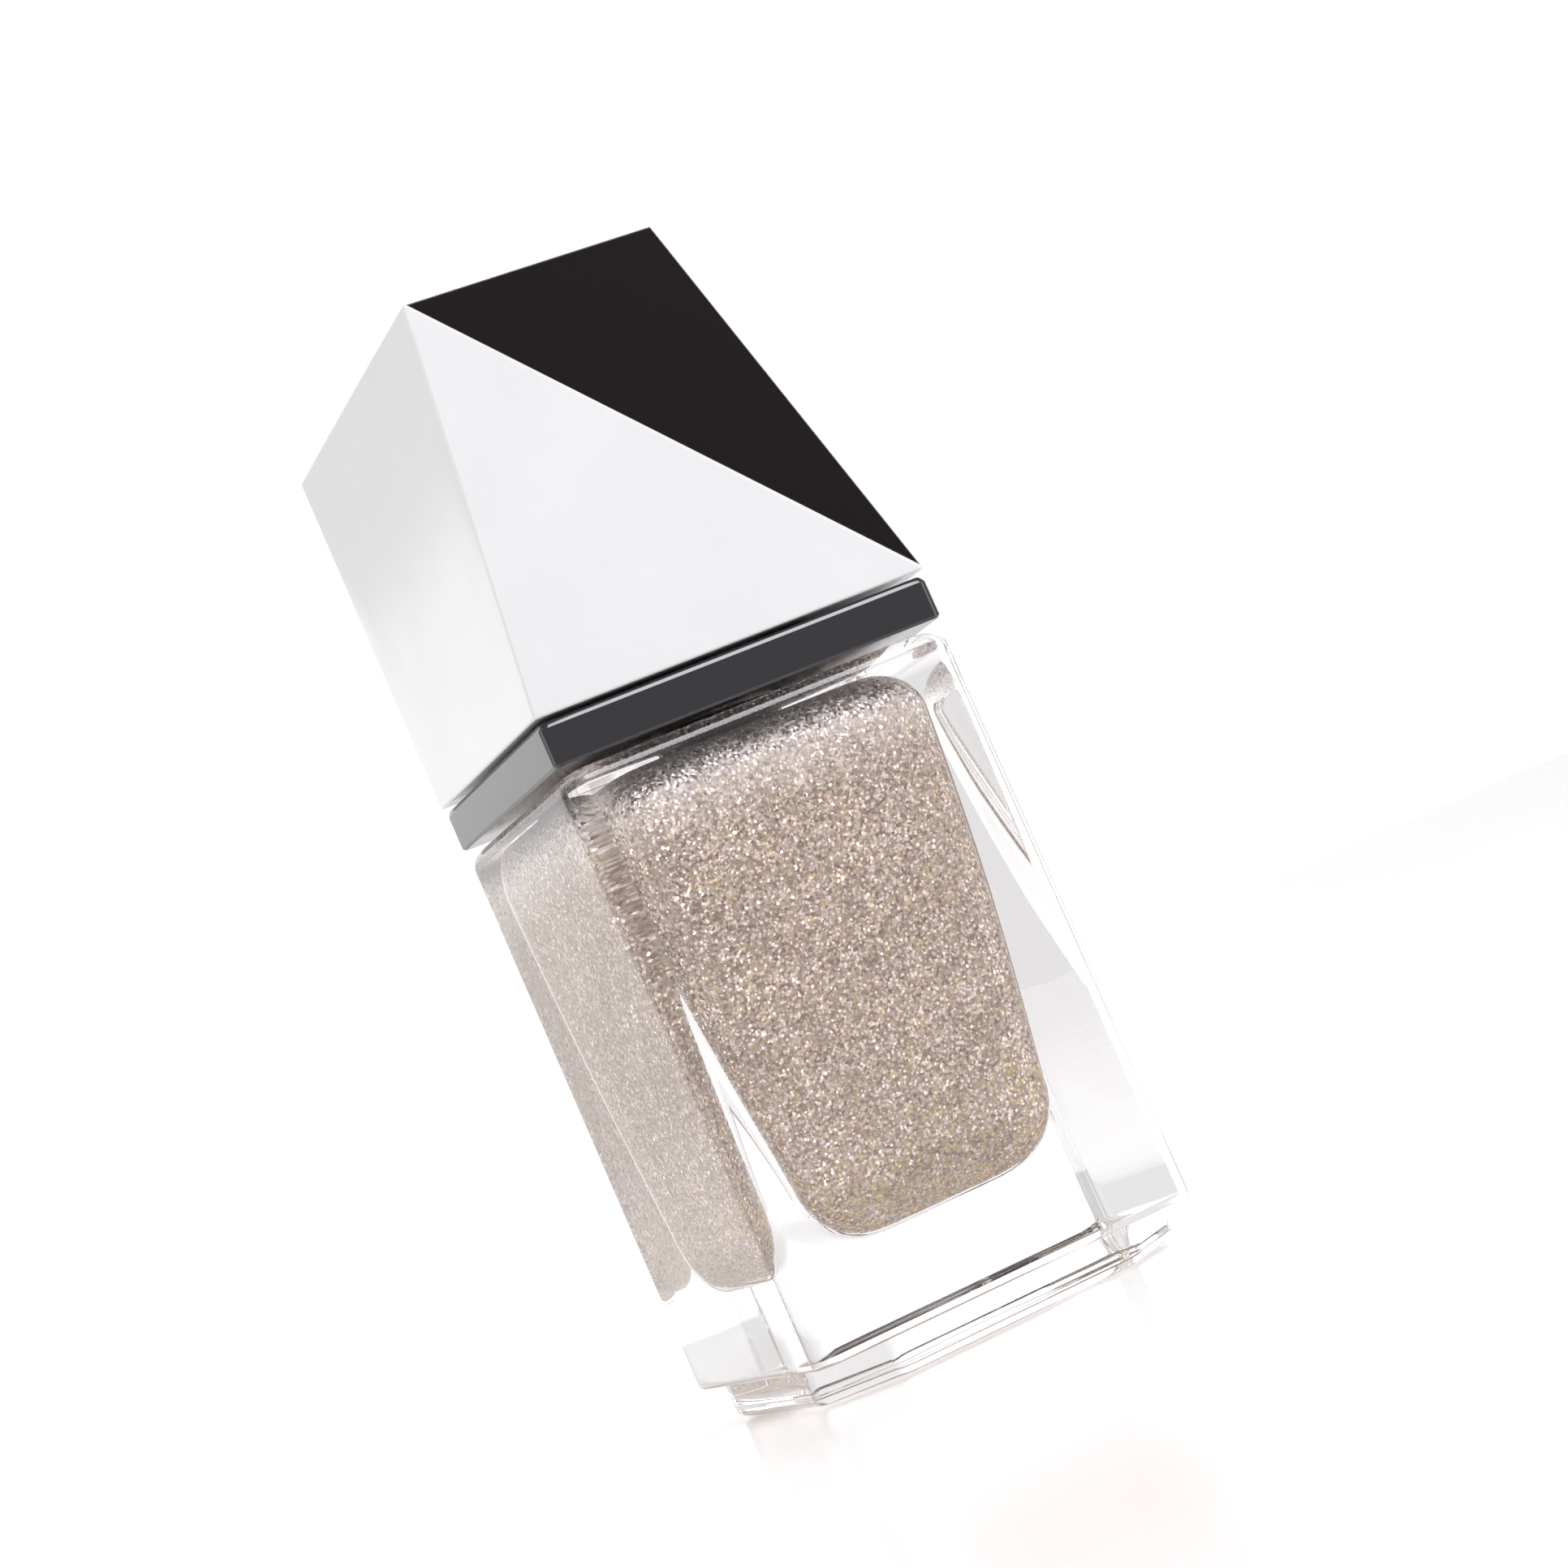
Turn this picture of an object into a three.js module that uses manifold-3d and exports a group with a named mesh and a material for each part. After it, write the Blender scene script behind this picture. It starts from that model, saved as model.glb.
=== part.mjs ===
// A square glass nail polish bottle with a faceted two-tone screw cap and its brush.
//
// Millimetres, +Z up, front towards -Y. The origin is the centre of the base that the bottle stands on.
// The bottle is closed: the brush hangs in the polish and the cap is screwed down on the neck.

import * as THREE from "three";
import { mergeVertices, toCreasedNormals } from "three/addons/utils/BufferGeometryUtils.js";
import Module from "manifold-3d";

const wasm = await Module();
wasm.setup();

// ---------------------------------------------------------------- driving dimensions

const GAP = 0.3; // between pieces that rest against each other

// Glass body, square in plan, on a narrower foot with cut corners
const GLASS_HALF = 12.4;
const GLASS_EDGE_RADIUS = 1.3;
const SHOULDER_ROUNDING = 1.25;
const HEEL_ROUNDING = 0.5;
const FOOT_HALF = 11.8;
const FOOT_CORNER_CUT = 4;
const FOOT_HEIGHT = 2.2;
const FOOT_ROUNDING = 0.7;
const SHOULDER_Z = 37.6;

// Chamber for the polish, a tapered cup with soft corners
const CHAMBER_FLOOR_Z = 7.3;
const CHAMBER_CEILING_Z = 36.6;
const CHAMBER_HALF_LOW = 8.3;
const CHAMBER_HALF_HIGH = 10.6;
const CHAMBER_FLOOR_RADIUS = 4.2;
const CHAMBER_CEILING_RADIUS = 2.8;
const CHAMBER_SQUARENESS = 7; // exponent of the superellipse in plan

// Neck and its round thread
const NECK_RADIUS = 5.6;
const NECK_BORE_RADIUS = 3.9;
const NECK_TOP_Z = 48.6;
const NECK_RIM_ROUNDING = 0.5;
const THREAD_PITCH = 2.12;
const THREAD_TURNS = 1.25;
const THREAD_RIDGE = 0.5; // radius of the ridge's round section
const NECK_THREAD_RADIUS = 5.8; // to the middle of the ridge
const NECK_THREAD_Z = 44;

// Inner cap, screwed on the neck
const INNER_CAP_RADIUS = 8.3;
const INNER_CAP_BORE = 6.6;
const INNER_CAP_BOTTOM_Z = 38.25;
const INNER_CAP_TOP_Z = 53;
const INNER_CAP_THREAD_RADIUS = 6.45;
const INNER_CAP_CEILING_Z = 49.95;
const HEAD_SEAT_Z = 51.2; // floor of the recess for the brush stem's head
const HEAD_SEAT_RADIUS = 3.4;
const RIB_COUNT = 24;
const RIB_HEIGHT = 0.25;
const RIB_WIDTH = 0.6;

// Sealing liner between the neck's rim and the inner cap
const LINER_RADIUS = 5.8;
const LINER_THICKNESS = 0.75;

// Brush
const STEM_RADIUS = 1.6;
const STEM_HEAD_RADIUS = 3.1;
const STEM_HEAD_HEIGHT = 1.2;
const STEM_BOTTOM_Z = 22;
const STEM_SOCKET_RADIUS = 1.25;
const STEM_SOCKET_DEPTH = 3.4;
const TUFT_TIP_Z = 8.6;
const TUFT_ROOT_RADIUS = 0.95;
const TUFT_RADIUS = 1.85;
const ANCHOR_RADIUS = 0.2;
const ANCHOR_LENGTH = 1.8;

// Steel balls that stir the polish when the bottle is shaken
const BALL_RADIUS = 2;
const BALL_Z = 9.75;
const BALL_PLACES = [new THREE.Vector2(-4.2, 3.6), new THREE.Vector2(4, -3.9)];

// Square collar under the cap
const COLLAR_HALF = 12.4;
const COLLAR_CORNER_RADIUS = 0.5;
const COLLAR_ROUNDING = 0.25;
const COLLAR_BOTTOM_Z = 37.95;
const COLLAR_TOP_Z = 40.55;

// Faceted cap. Its corners are measured from the middle of its bottom face.
const CAP_BOTTOM_Z = 40.85;
const CAP_HALF = 12.5;
const CAP_TOE = new THREE.Vector3(CAP_HALF, -CAP_HALF, 0);
const CAP_APEX = new THREE.Vector3(-9.7, -CAP_HALF, 24.3);
const CAP_CROWN = new THREE.Vector3(CAP_HALF, 4.4, 28.4);
const CAP_REAR_LEFT = new THREE.Vector3(-CAP_HALF, CAP_HALF, 22.1);
const PANEL_THICKNESS = 0.8;

const ROUND_SEGMENTS = 40;
const CUTTER_SIZE = 90;

// ---------------------------------------------------------------- materials

const material = (color, roughness, metalness = 0) =>
  new THREE.MeshStandardMaterial({ color, roughness, metalness });

const clearGlass = material(0xeeeced, 0.04);
clearGlass.transparent = true;
clearGlass.opacity = 0.35;
const glitterPolish = material(0x9a8e80, 0.35, 0.6);
const steel = material(0xb8b8ba, 0.2, 1);
const blackPlastic = material(0x2a282b, 0.15);
const innerCapPlastic = material(0x1c1b1d, 0.45);
const whiteGloss = material(0xefeeef, 0.08);
const blackGloss = material(0x211d1f, 0.08);
const stemPlastic = material(0x1a191b, 0.4);
const nylon = material(0x2b2826, 0.6);
const linerFoam = material(0xe9e6df, 0.8);

// ---------------------------------------------------------------- solids

// A closed geometry as a manifold-3d solid.
function solid(geometry) {
  const bare = geometry.clone();
  bare.deleteAttribute("normal");
  bare.deleteAttribute("uv");
  const merged = mergeVertices(bare, 1e-4);
  return new wasm.Manifold(
    new wasm.Mesh({
      numProp: 3,
      vertProperties: merged.getAttribute("position").array,
      triVerts: new Uint32Array(merged.index.array),
    }),
  );
}

// A manifold-3d solid as a geometry, with sharp edges kept sharp.
function geometryOf(shape) {
  const mesh = shape.getMesh();
  const geometry = new THREE.BufferGeometry();
  geometry.setAttribute("position", new THREE.BufferAttribute(mesh.vertProperties, 3));
  geometry.setIndex(new THREE.BufferAttribute(mesh.triVerts, 1));
  return toCreasedNormals(geometry, Math.PI / 6);
}

const point = (x, y) => new THREE.Vector2(x, y);

// Points of an arc in the profile's plane, angles in degrees.
function arc(x, y, radius, from, to, steps = 6) {
  const points = [];
  for (let i = 0; i <= steps; i++) {
    const angle = THREE.MathUtils.degToRad(from + ((to - from) * i) / steps);
    points.push(point(x + radius * Math.cos(angle), y + radius * Math.sin(angle)));
  }
  return points;
}

// A profile of radius and height, turned about the Z axis.
function turned(profile, segments = ROUND_SEGMENTS) {
  return new THREE.LatheGeometry(profile, segments).rotateX(Math.PI / 2);
}

function cylinder(radius, bottom, top, segments = ROUND_SEGMENTS) {
  const height = top - bottom;
  return new THREE.CylinderGeometry(radius, radius, height, segments)
    .rotateX(Math.PI / 2)
    .translate(0, 0, bottom + height / 2);
}

// A prism of an outline, its two end edges rounded off.
function prism(outline, bottom, top, rounding = 0) {
  return new THREE.ExtrudeGeometry(outline, {
    depth: top - bottom - 2 * rounding,
    bevelEnabled: rounding > 0,
    bevelThickness: rounding,
    bevelSize: rounding,
    bevelOffset: -rounding,
    bevelSegments: 4,
    curveSegments: 5,
  }).translate(0, 0, bottom + rounding);
}

function roundedSquare(half, radius) {
  const shape = new THREE.Shape();
  const centre = half - radius;
  shape.absarc(centre, centre, radius, 0, Math.PI / 2);
  shape.absarc(-centre, centre, radius, Math.PI / 2, Math.PI);
  shape.absarc(-centre, -centre, radius, Math.PI, Math.PI * 1.5);
  shape.absarc(centre, -centre, radius, Math.PI * 1.5, Math.PI * 2);
  return shape;
}

function cutCornerSquare(half, cut) {
  const flat = half - cut;
  return new THREE.Shape([
    point(half, -flat),
    point(half, flat),
    point(flat, half),
    point(-flat, half),
    point(-half, flat),
    point(-half, -flat),
    point(-flat, -half),
    point(flat, -half),
  ]);
}

// A right-hand helix about the Z axis, from height z up.
class Helix extends THREE.Curve {
  constructor(radius, z) {
    super();
    this.radius = radius;
    this.z = z;
  }

  getPoint(t, target = new THREE.Vector3()) {
    const angle = 2 * Math.PI * THREAD_TURNS * t;
    return target.set(
      this.radius * Math.cos(angle),
      this.radius * Math.sin(angle),
      this.z + THREAD_PITCH * THREAD_TURNS * t,
    );
  }
}

// A thread's ridge of round section along a helix.
function threadRidge(radius, z) {
  const section = new THREE.Shape();
  section.absarc(0, 0, THREAD_RIDGE, 0, Math.PI * 2);
  return solid(
    new THREE.ExtrudeGeometry(section, {
      extrudePath: new Helix(radius, z),
      steps: Math.round(28 * THREAD_TURNS),
      curveSegments: 5,
    }),
  );
}

// Everything on the outer side of a plane, as far as the cutter reaches.
function beyond(plane) {
  const cutter = new THREE.BoxGeometry(CUTTER_SIZE, CUTTER_SIZE, CUTTER_SIZE);
  cutter.translate(0, 0, CUTTER_SIZE / 2);
  const turn = new THREE.Quaternion().setFromUnitVectors(new THREE.Vector3(0, 0, 1), plane.normal);
  cutter.applyQuaternion(turn);
  const foot = plane.coplanarPoint(new THREE.Vector3());
  return solid(cutter.translate(foot.x, foot.y, foot.z));
}

// ---------------------------------------------------------------- bottle

// The chamber's shape in the glass, or the polish in it when it is drawn in by an inset.
function chamber(inset = 0) {
  const floor = CHAMBER_FLOOR_Z + inset;
  const ceiling = CHAMBER_CEILING_Z - inset;
  const low = CHAMBER_HALF_LOW - inset;
  const high = CHAMBER_HALF_HIGH - inset;
  const bottomRadius = CHAMBER_FLOOR_RADIUS;
  const topRadius = CHAMBER_CEILING_RADIUS;
  const profile = [
    point(0, floor),
    ...arc(low - bottomRadius, floor + bottomRadius, bottomRadius, -90, 0, 6),
    ...arc(high - topRadius, ceiling - topRadius, topRadius, 0, 90, 4),
    point(0, ceiling),
  ];
  return squareOff(turned(profile, 48), CHAMBER_SQUARENESS);
}

// Pushes a turned shape out towards its four corners, from round to a soft square in plan.
function squareOff(geometry, exponent) {
  const position = geometry.getAttribute("position");
  for (let i = 0; i < position.count; i++) {
    const angle = Math.atan2(position.getY(i), position.getX(i));
    const spread = Math.abs(Math.cos(angle)) ** exponent + Math.abs(Math.sin(angle)) ** exponent;
    const push = spread ** (-1 / exponent);
    position.setX(i, position.getX(i) * push);
    position.setY(i, position.getY(i) * push);
  }
  return geometry;
}

function neck() {
  const profile = [
    point(0, SHOULDER_Z - 1),
    point(NECK_RADIUS, SHOULDER_Z - 1),
    ...arc(NECK_RADIUS - NECK_RIM_ROUNDING, NECK_TOP_Z - NECK_RIM_ROUNDING, NECK_RIM_ROUNDING, 0, 90, 3),
    point(0, NECK_TOP_Z),
  ];
  return solid(turned(profile)).add(threadRidge(NECK_THREAD_RADIUS, NECK_THREAD_Z));
}

function glassBottle() {
  const outline = roundedSquare(GLASS_HALF, GLASS_EDGE_RADIUS);
  const middle = (FOOT_HEIGHT + SHOULDER_Z) / 2;
  const upper = solid(prism(outline, middle - 5, SHOULDER_Z, SHOULDER_ROUNDING));
  const lower = solid(prism(outline, FOOT_HEIGHT, middle + 5, HEEL_ROUNDING));
  const foot = solid(
    prism(cutCornerSquare(FOOT_HALF, FOOT_CORNER_CUT), 0, FOOT_HEIGHT + 2, FOOT_ROUNDING),
  );
  const bore = solid(cylinder(NECK_BORE_RADIUS, CHAMBER_CEILING_Z - 1, NECK_TOP_Z + 1));
  return upper.add(lower).add(foot).add(neck()).subtract(solid(chamber())).subtract(bore);
}

// The polish fills the chamber, round the brush and the stirring balls.
function nailPolish() {
  const brushRoom = solid(cylinder(TUFT_RADIUS + GAP, TUFT_TIP_Z - GAP, CHAMBER_CEILING_Z + 1, 32));
  let polish = solid(chamber(GAP)).subtract(brushRoom);
  for (const place of BALL_PLACES) {
    const room = new THREE.SphereGeometry(BALL_RADIUS + GAP, 20, 12);
    room.translate(place.x, place.y, BALL_Z);
    const drain = cylinder(BALL_RADIUS + GAP, CHAMBER_FLOOR_Z - 1, BALL_Z, 20);
    drain.translate(place.x, place.y, 0);
    polish = polish.subtract(solid(room)).subtract(solid(drain));
  }
  return polish;
}

// ---------------------------------------------------------------- closure and brush

function innerCap() {
  const profile = [
    point(INNER_CAP_BORE, INNER_CAP_BOTTOM_Z),
    point(INNER_CAP_RADIUS, INNER_CAP_BOTTOM_Z),
    point(INNER_CAP_RADIUS, INNER_CAP_TOP_Z),
    point(HEAD_SEAT_RADIUS, INNER_CAP_TOP_Z),
    point(HEAD_SEAT_RADIUS, HEAD_SEAT_Z),
    point(STEM_RADIUS + GAP, HEAD_SEAT_Z),
    point(STEM_RADIUS + GAP, INNER_CAP_CEILING_Z),
    point(INNER_CAP_BORE, INNER_CAP_CEILING_Z),
    point(INNER_CAP_BORE, INNER_CAP_BOTTOM_Z),
  ];
  let cap = solid(turned(profile));
  cap = cap.add(threadRidge(INNER_CAP_THREAD_RADIUS, NECK_THREAD_Z - THREAD_PITCH / 2));
  const bottom = COLLAR_TOP_Z;
  const height = INNER_CAP_TOP_Z - 1 - bottom;
  for (let i = 0; i < RIB_COUNT; i++) {
    const rib = new THREE.BoxGeometry(2 * RIB_HEIGHT, RIB_WIDTH, height);
    rib.translate(INNER_CAP_RADIUS, 0, bottom + height / 2);
    rib.rotateZ((2 * Math.PI * i) / RIB_COUNT);
    cap = cap.add(solid(rib));
  }
  return cap;
}

function sealingLiner() {
  const bottom = NECK_TOP_Z + GAP;
  const top = bottom + LINER_THICKNESS;
  const hole = STEM_RADIUS + GAP;
  return turned([
    point(hole, bottom),
    point(LINER_RADIUS, bottom),
    point(LINER_RADIUS, top),
    point(hole, top),
    point(hole, bottom),
  ]);
}

function brushStem() {
  const socketTop = STEM_BOTTOM_Z + STEM_SOCKET_DEPTH;
  const headBottom = HEAD_SEAT_Z + GAP;
  return turned(
    [
      point(0, socketTop),
      point(STEM_SOCKET_RADIUS, socketTop),
      point(STEM_SOCKET_RADIUS, STEM_BOTTOM_Z),
      point(STEM_RADIUS, STEM_BOTTOM_Z),
      point(STEM_RADIUS, headBottom),
      point(STEM_HEAD_RADIUS, headBottom),
      point(STEM_HEAD_RADIUS, headBottom + STEM_HEAD_HEIGHT),
      point(0, headBottom + STEM_HEAD_HEIGHT),
    ],
    32,
  );
}

// The tuft of bristles, from its round tip up to its root in the stem's socket.
function brushBristles() {
  const rootTop = STEM_BOTTOM_Z + STEM_SOCKET_DEPTH - 3 * GAP;
  return turned(
    [
      point(0, TUFT_TIP_Z),
      ...arc(0, TUFT_TIP_Z + TUFT_RADIUS * 1.4, TUFT_RADIUS, -80, 0, 5).map((p) =>
        point(p.x, TUFT_TIP_Z + (p.y - TUFT_TIP_Z) * 1.4),
      ),
      point(TUFT_RADIUS * 0.85, STEM_BOTTOM_Z - 4),
      point(TUFT_ROOT_RADIUS, STEM_BOTTOM_Z - GAP),
      point(TUFT_ROOT_RADIUS, rootTop),
      point(0, rootTop),
    ],
    24,
  );
}

// The wire pin that holds the folded bristles in the stem.
function bristleAnchor() {
  const height = STEM_BOTTOM_Z + STEM_SOCKET_DEPTH - 1.4 * GAP;
  return new THREE.CylinderGeometry(ANCHOR_RADIUS, ANCHOR_RADIUS, ANCHOR_LENGTH, 12)
    .rotateZ(Math.PI / 2)
    .translate(0, 0, height);
}

function collar() {
  const outline = roundedSquare(COLLAR_HALF, COLLAR_CORNER_RADIUS);
  const block = solid(prism(outline, COLLAR_BOTTOM_Z, COLLAR_TOP_Z, COLLAR_ROUNDING));
  const hole = solid(cylinder(INNER_CAP_RADIUS + GAP, COLLAR_BOTTOM_Z - 1, COLLAR_TOP_Z + 1));
  return block.subtract(hole);
}

// ---------------------------------------------------------------- faceted cap

// The cap's planes face outwards. The facet's plane holds the black triangle, drawn in by an inset.
const crownPlane = new THREE.Plane().setFromCoplanarPoints(CAP_APEX, CAP_CROWN, CAP_REAR_LEFT);
function facetPlane(inset) {
  const plane = new THREE.Plane().setFromCoplanarPoints(CAP_TOE, CAP_CROWN, CAP_APEX);
  plane.constant += inset;
  return plane;
}

// A block whose left face leans in towards the front, cut off by the slanted crown.
// The lean grows evenly with height at the front edge and is none at the rear edge.
function capBlock() {
  const height = CAP_CROWN.z + 2;
  const lean = (CAP_APEX.x + CAP_HALF) / CAP_APEX.z;
  const block = new THREE.BoxGeometry(2 * CAP_HALF, 2 * CAP_HALF, height, 1, 10, 10);
  block.translate(0, 0, height / 2);
  const position = block.getAttribute("position");
  for (let i = 0; i < position.count; i++) {
    if (position.getX(i) > 0) continue;
    const forward = (CAP_HALF - position.getY(i)) / (2 * CAP_HALF);
    position.setX(i, lean * position.getZ(i) * forward - CAP_HALF);
  }
  return solid(block).subtract(beyond(crownPlane));
}

function capShell() {
  const socketTop = INNER_CAP_TOP_Z + GAP - CAP_BOTTOM_Z;
  const socket = solid(cylinder(INNER_CAP_RADIUS + RIB_HEIGHT + GAP, -1, socketTop));
  return capBlock().subtract(beyond(facetPlane(PANEL_THICKNESS + GAP))).subtract(socket);
}

function facetPanel() {
  const behind = facetPlane(PANEL_THICKNESS).negate();
  return capBlock().subtract(beyond(facetPlane(0))).subtract(beyond(behind));
}

// ---------------------------------------------------------------- assembly

const bottle = new THREE.Group();

function addPiece(name, geometry, look, z = 0) {
  const mesh = new THREE.Mesh(geometry, look);
  mesh.name = name;
  mesh.position.z = z;
  bottle.add(mesh);
}

addPiece("glass_bottle", geometryOf(glassBottle()), clearGlass);
addPiece("nail_polish", geometryOf(nailPolish()), glitterPolish);
BALL_PLACES.forEach((place, i) => {
  const ball = new THREE.SphereGeometry(BALL_RADIUS, 20, 12);
  ball.translate(place.x, place.y, BALL_Z);
  addPiece(`mixing_ball_${i + 1}`, ball, steel);
});
addPiece("sealing_liner", sealingLiner(), linerFoam);
addPiece("brush_stem", brushStem(), stemPlastic);
addPiece("brush_bristles", brushBristles(), nylon);
addPiece("bristle_anchor", bristleAnchor(), steel);
addPiece("inner_cap", geometryOf(innerCap()), innerCapPlastic);
addPiece("collar", geometryOf(collar()), blackPlastic);
addPiece("cap_shell", geometryOf(capShell()), whiteGloss, CAP_BOTTOM_Z);
addPiece("facet_panel", geometryOf(facetPanel()), blackGloss, CAP_BOTTOM_Z);

export default bottle;
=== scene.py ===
"""Looks of a square glass nail polish bottle with a faceted two-tone cap.

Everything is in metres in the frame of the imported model: +Z up, the front towards -Y.
A size written as "number * MM" is given in millimetres.
"""

import math

import bmesh
import bpy
import numpy as np
from mathutils import Matrix, Vector


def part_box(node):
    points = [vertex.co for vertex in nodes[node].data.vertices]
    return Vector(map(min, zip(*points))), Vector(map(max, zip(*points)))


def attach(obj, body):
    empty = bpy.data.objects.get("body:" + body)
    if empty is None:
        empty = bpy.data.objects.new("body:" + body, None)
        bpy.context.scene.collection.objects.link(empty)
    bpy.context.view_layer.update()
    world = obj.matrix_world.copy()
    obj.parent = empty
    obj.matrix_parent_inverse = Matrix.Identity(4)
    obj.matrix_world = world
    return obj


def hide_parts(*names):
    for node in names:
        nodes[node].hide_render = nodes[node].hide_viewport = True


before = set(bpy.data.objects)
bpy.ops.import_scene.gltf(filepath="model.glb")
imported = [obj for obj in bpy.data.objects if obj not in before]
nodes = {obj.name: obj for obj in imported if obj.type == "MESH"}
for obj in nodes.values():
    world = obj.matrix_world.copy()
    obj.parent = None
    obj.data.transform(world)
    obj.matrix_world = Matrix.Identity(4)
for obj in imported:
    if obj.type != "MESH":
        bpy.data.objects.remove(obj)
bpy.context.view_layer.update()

MM = 0.001
SEED = 7

# ---------------------------------------------------------------- sizes from the frame

glass_low, glass_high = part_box("glass_bottle")
polish_low, polish_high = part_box("nail_polish")
collar_low, collar_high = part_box("collar")
shell_low, shell_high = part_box("cap_shell")
panel_low, panel_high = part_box("facet_panel")
stem_low, stem_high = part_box("brush_stem")
tuft_low, tuft_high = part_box("brush_bristles")

GLASS_HALF = glass_high.x
NECK_TOP = glass_high.z
CAP_BOTTOM = shell_low.z
CAP_HALF = shell_high.x

# Glass body
FOOT_HALF = 11.8 * MM
FOOT_CUT = 4.0 * MM
FOOT_HEIGHT = 2.2 * MM
FOOT_ROUNDING = 0.7 * MM
PUNT_RADIUS = 9.2 * MM  # the base is pushed up a little in its middle
PUNT_DEPTH = 0.8 * MM
PUNT_STEPS = [step / 12 for step in range(1, 13)]
HEEL_ROUNDING = 0.5 * MM
EDGE_RADIUS = 1.3 * MM
SHOULDER_ROUNDING = 1.2 * MM
SHOULDER_Z = 37.6 * MM

# Chamber
CHAMBER_FLOOR = 7.3 * MM
CHAMBER_CEILING = 36.6 * MM
CHAMBER_LOW = 8.3 * MM
CHAMBER_HIGH = 10.6 * MM
CHAMBER_FLOOR_RADIUS = 4.2 * MM
CHAMBER_CEILING_RADIUS = 2.8 * MM
CHAMBER_SQUARENESS = 7
GLANCE_IOR = 0.95  # lacquer against glass
CONTACT = 0.01 * MM  # the polish wets the glass, so its skin reaches just past the chamber's wall

# Neck and thread
NECK_RADIUS = 5.6 * MM
NECK_BORE = 3.9 * MM
RIM_ROUNDING = 0.5 * MM
THREAD_START = 44 * MM
THREAD_PITCH = 2.12 * MM
THREAD_TURNS = 1.25
THREAD_CREST = 0.7 * MM
THREAD_HALF_WIDTH = 0.55 * MM

# Brush
BRUSH_ROOM = 2.15 * MM
STEM_RADIUS = 1.6 * MM
TUFT_RADIUS = 1.85 * MM
FILAMENTS = 420

# Cap, its corners from the middle of its bottom face
TOE = Vector((CAP_HALF, -CAP_HALF, 0))
APEX = Vector((panel_low.x, -CAP_HALF, 24.3 * MM))
CROWN = Vector((CAP_HALF, 4.4 * MM, panel_high.z - CAP_BOTTOM))
REAR_LEFT_Z = 22.1 * MM
CAP_BEVEL = 0.16 * MM
PANEL_RIM = 0.16 * MM
PANEL_DEPTH = 0.5 * MM
PANEL_GROOVE = 0.03 * MM
SOCKET_RADIUS = 8.85 * MM
SOCKET_TOP = 53.3 * MM

# Collar
COLLAR_HALF = 12.4 * MM
COLLAR_CORNER = 0.5 * MM
COLLAR_BEVEL = 0.3 * MM
COLLAR_EDGE = 0.05 * MM
COLLAR_HOLE = 8.6 * MM

# Camera and light
CAMERA_AZIMUTH = -19.52
CAMERA_RADIUS = 207.3 * MM
CAMERA_HEIGHT = 17.84 * MM
CAMERA_YAW = 20.56
CAMERA_PITCH = 4.27
CAMERA_ROLL = 23.8
LENS = 80.8
SENSOR = 36.0
FRONT_WHITE = 0.64
STRIP_WHITE = 1.6
HORIZON_WHITE = 1.12
# The sweep behind, from its left end to its right: (sideways direction, brightness)
BEHIND = [
    (-1.0, 0.72),
    (-0.6, 0.86),
    (-0.41, 0.81),
    (-0.37, 0.82),
    (-0.34, STRIP_WHITE),
    (-0.22, STRIP_WHITE),
    (-0.17, 1.12),
    (0.4, 1.12),
    (0.8, 0.75),
    (1.0, 0.65),
]
SEEN_WHITE = 1.05  # the backdrop as the camera sees it
LIGHT_AIM = Vector((0, 0, 35 * MM))
FLAG_AIM = (0.77, 0.28, 0.57)
FLAG_SHARE = 0.12
KEY_POWER = 0.45
OVERHEAD_POWER = 1.3
FILL_POWER = 0.6
LEFT_POWER = 0.4
FLOOR_GLOW = 0.1  # a light table under the white sheet

# Looks
SCRATCH_STRETCH = (9000, 400, 900)
SCRATCH_TURN = (0.5, 0.3, 0.9)
DUST_SCALE = 2600
HAZE_DIMMING = 0.965
GLASS_TINT = (0.985, 0.978, 0.98, 1)
GLASS_SHADE = (0.9, 0.89, 0.89, 1)
FLAKE_SCALE = 6600
FLAKE_TILT = 0.85
FLAKE_SHADES = [
    (0.0, (0.36, 0.28, 0.235)),
    (0.45, (0.50, 0.405, 0.345)),
    (0.85, (0.68, 0.57, 0.50)),
    (0.93, (0.95, 0.86, 0.80)),
    (1.0, (1.0, 0.98, 0.96)),
]
GOLD_FLAKE = (0.58, 0.48, 0.33)
GOLD_TOP = 14 * MM
GOLD_BOTTOM = 8 * MM
# colour of the painted glints: a few flakes painted near-white
PAINTED_GLINT = (1.0, 0.97, 0.95)
PAINTED_TOP_LIGHT = (0.98, 0.92, 0.88)  # painted light: the glitter is painted paler near the top, for light falling in from above
PAINTED_LIGHT_START = 31.5 * MM
PAINTED_LIGHT_END = 34.5 * MM
# painted shade on the polish's upward-facing top, under the collar
PAINTED_TOP_SHADE = (0.60, 0.55, 0.56)
MIRROR_WHITE = (0.97, 0.965, 0.96)


# ---------------------------------------------------------------- node helpers


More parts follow.
